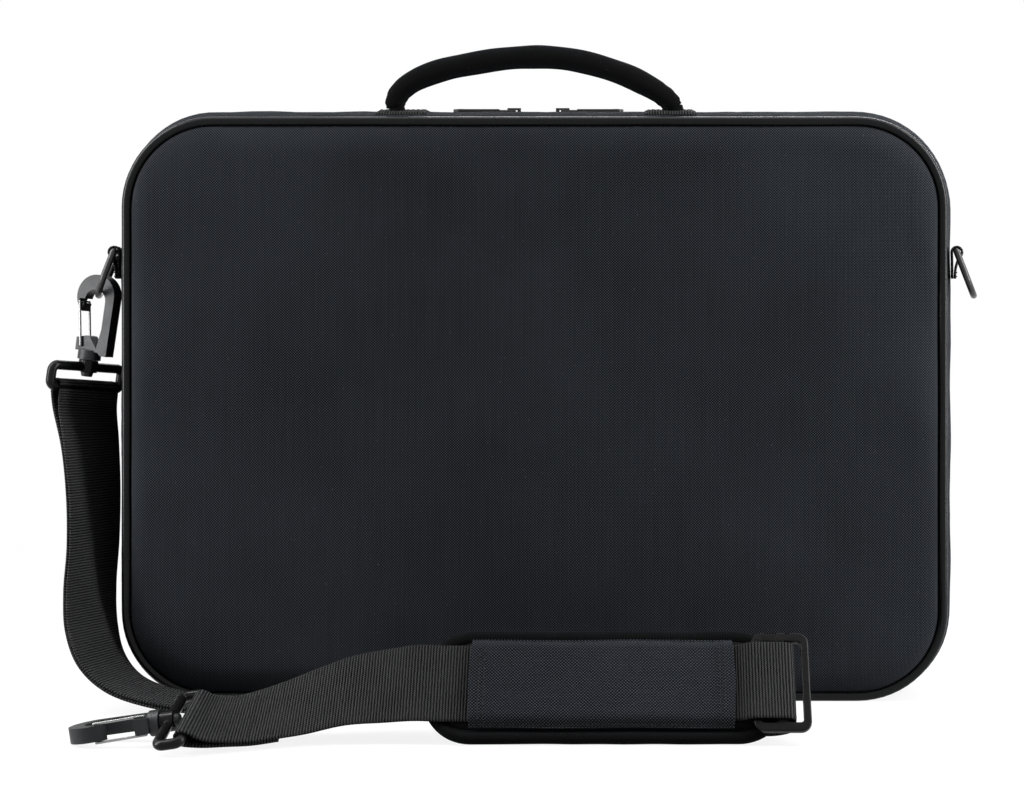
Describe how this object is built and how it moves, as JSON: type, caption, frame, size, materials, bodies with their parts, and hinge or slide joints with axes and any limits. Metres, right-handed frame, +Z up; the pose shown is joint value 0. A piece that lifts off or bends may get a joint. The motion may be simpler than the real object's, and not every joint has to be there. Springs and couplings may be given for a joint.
{
  "type": "laptop case",
  "caption": "Upright zip-round laptop case with stiffened fabric panels, rolled carry handle, side rings and a padded shoulder strap on two swivel snap hooks.",
  "frame": {"origin": "on the floor under the middle of everything that isn't loose: width, depth and height of the case", "axes": "+X along the case's width, +Z up from its flat bottom, +Y from the plain rear face to the pocket face"},
  "size_m": [0.4646, 0.2151, 0.3274],
  "materials": {
    "shell_fabric": "woven, slightly blue-grey charcoal",
    "webbing": "ribbed polyester webbing",
    "trim_fabric": "black knit, zip tape and lining",
    "grip_wrap": "smooth soft black wrap",
    "piping_vinyl": "smooth dark vinyl, soft sheen",
    "zip_coil": "moulded coil",
    "zip_metal": "black painted zinc",
    "hook_plastic": "moulded grey-black acetal",
    "loop_plastic": "moulded black acetal",
    "ring_metal": "gunmetal plated wire",
    "gate_wire": "bright spring wire",
    "pad_foam": "black foam with a non-slip face"
  },
  "bodies": {
    "rear_half": {"rear_panel": "shell_fabric", "rear_gusset": "shell_fabric", "rear_piping": "piping_vinyl", "rear_zip_tape": "trim_fabric", "rear_zip_coil": "zip_coil", "rear_lining": "trim_fabric", "laptop_strap_left": "webbing", "laptop_strap_right": "webbing", "hinge_strip": "trim_fabric", "handle_anchors": "webbing", "ring_tab_left": "webbing", "ring_tab_right": "webbing", "ring_left": "ring_metal", "loop_a": "loop_plastic", "loop_b": "loop_plastic", "strap_single": "webbing", "strap_outer": "webbing", "strap_inner": "webbing", "strap_slider": "loop_plastic", "pad_cushion": "pad_foam", "pad_sleeve": "shell_fabric", "pad_binding": "trim_fabric"},
    "lid_half": {"lid_panel": "shell_fabric", "lid_gusset": "shell_fabric", "lid_piping": "piping_vinyl", "lid_zip_tape": "trim_fabric", "lid_zip_coil": "zip_coil", "lid_lining": "trim_fabric", "organiser_pocket": "trim_fabric", "front_pocket": "shell_fabric", "pocket_piping": "piping_vinyl", "pocket_zip_tape": "trim_fabric", "pocket_zip_coil": "zip_coil"},
    "handle": {"handle_grip": "grip_wrap"},
    "ring_right": {"ring_right": "ring_metal"},
    "slider_left": {"slider_left": "zip_metal"},
    "slider_right": {"slider_right": "zip_metal"},
    "pull_left": {"pull_left": "zip_metal"},
    "pull_right": {"pull_right": "zip_metal"},
    "pocket_slider": {"pocket_slider": "zip_metal"},
    "pocket_pull": {"pocket_pull": "zip_metal"},
    "hook_a": {"hook_a": "hook_plastic"},
    "gate_a": {"gate_a": "gate_wire"},
    "hook_b": {"hook_b": "hook_plastic"},
    "gate_b": {"gate_b": "gate_wire"}
  },
  "joints": [
    {"name": "lid_hinge", "type": "hinge", "parent": "rear_half", "child": "lid_half", "pos_m": [0, 0.008, 0], "axis": [-1, 0, 0], "range_deg": [0, 170]},
    {"name": "handle_fold", "type": "hinge", "parent": "rear_half", "child": "handle", "pos_m": [0, -0.017, 0.30115], "axis": [1, 0, 0], "range_deg": [-45, 60]},
    {"name": "ring_right_swing", "type": "hinge", "parent": "rear_half", "child": "ring_right", "pos_m": [0.21206, -0.0175, 0.223], "axis": [-0.1493, -0.9888, 0], "range_deg": [-15, 150]},
    {"name": "zip_slider_left", "type": "slide", "parent": "rear_half", "child": "slider_left", "axis": [-1, 0, 0], "range_m": [0, 0.125]},
    {"name": "zip_slider_right", "type": "slide", "parent": "rear_half", "child": "slider_right", "axis": [1, 0, 0], "range_m": [0, 0.125]},
    {"name": "pull_left_flip", "type": "hinge", "parent": "slider_left", "child": "pull_left", "pos_m": [-0.012, 0.008, 0.29625], "axis": [0, 1, 0], "range_deg": [0, 160]},
    {"name": "pull_right_flip", "type": "hinge", "parent": "slider_right", "child": "pull_right", "pos_m": [0.012, 0.008, 0.29625], "axis": [0, -1, 0], "range_deg": [0, 160]},
    {"name": "pocket_zip_slide", "type": "slide", "parent": "lid_half", "child": "pocket_slider", "axis": [1, 0, 0], "range_m": [0, 0.235]},
    {"name": "pocket_pull_flip", "type": "hinge", "parent": "pocket_slider", "child": "pocket_pull", "pos_m": [-0.124, 0.0418, 0.201], "axis": [0, 0, 1], "range_deg": [0, 160]},
    {"name": "hook_a_swivel", "type": "hinge", "parent": "rear_half", "child": "hook_a", "pos_m": [-0.22476, -0.0184, 0.17322], "axis": [0.1392, 0, 0.9903], "range_deg": [0, 5]},
    {"name": "gate_a_hinge", "type": "hinge", "parent": "hook_a", "child": "gate_a", "pos_m": [-0.22738, -0.01731, 0.17622], "axis": [0.3387, 0.9397, -0.0476], "range_deg": [0, 24], "stiffness_Nm_per_rad": 0.02},
    {"name": "hook_b_swivel", "type": "hinge", "parent": "rear_half", "child": "hook_b", "pos_m": [-0.1654, -0.146, 0.0102], "axis": [-0.9803, 0.1204, -0.1564], "continuous": true},
    {"name": "gate_b_hinge", "type": "hinge", "parent": "hook_b", "child": "gate_b", "pos_m": [-0.16834, -0.14886, 0.00979], "axis": [0.1553, -0.0191, -0.9877], "range_deg": [0, 24], "stiffness_Nm_per_rad": 0.02}
  ]
}
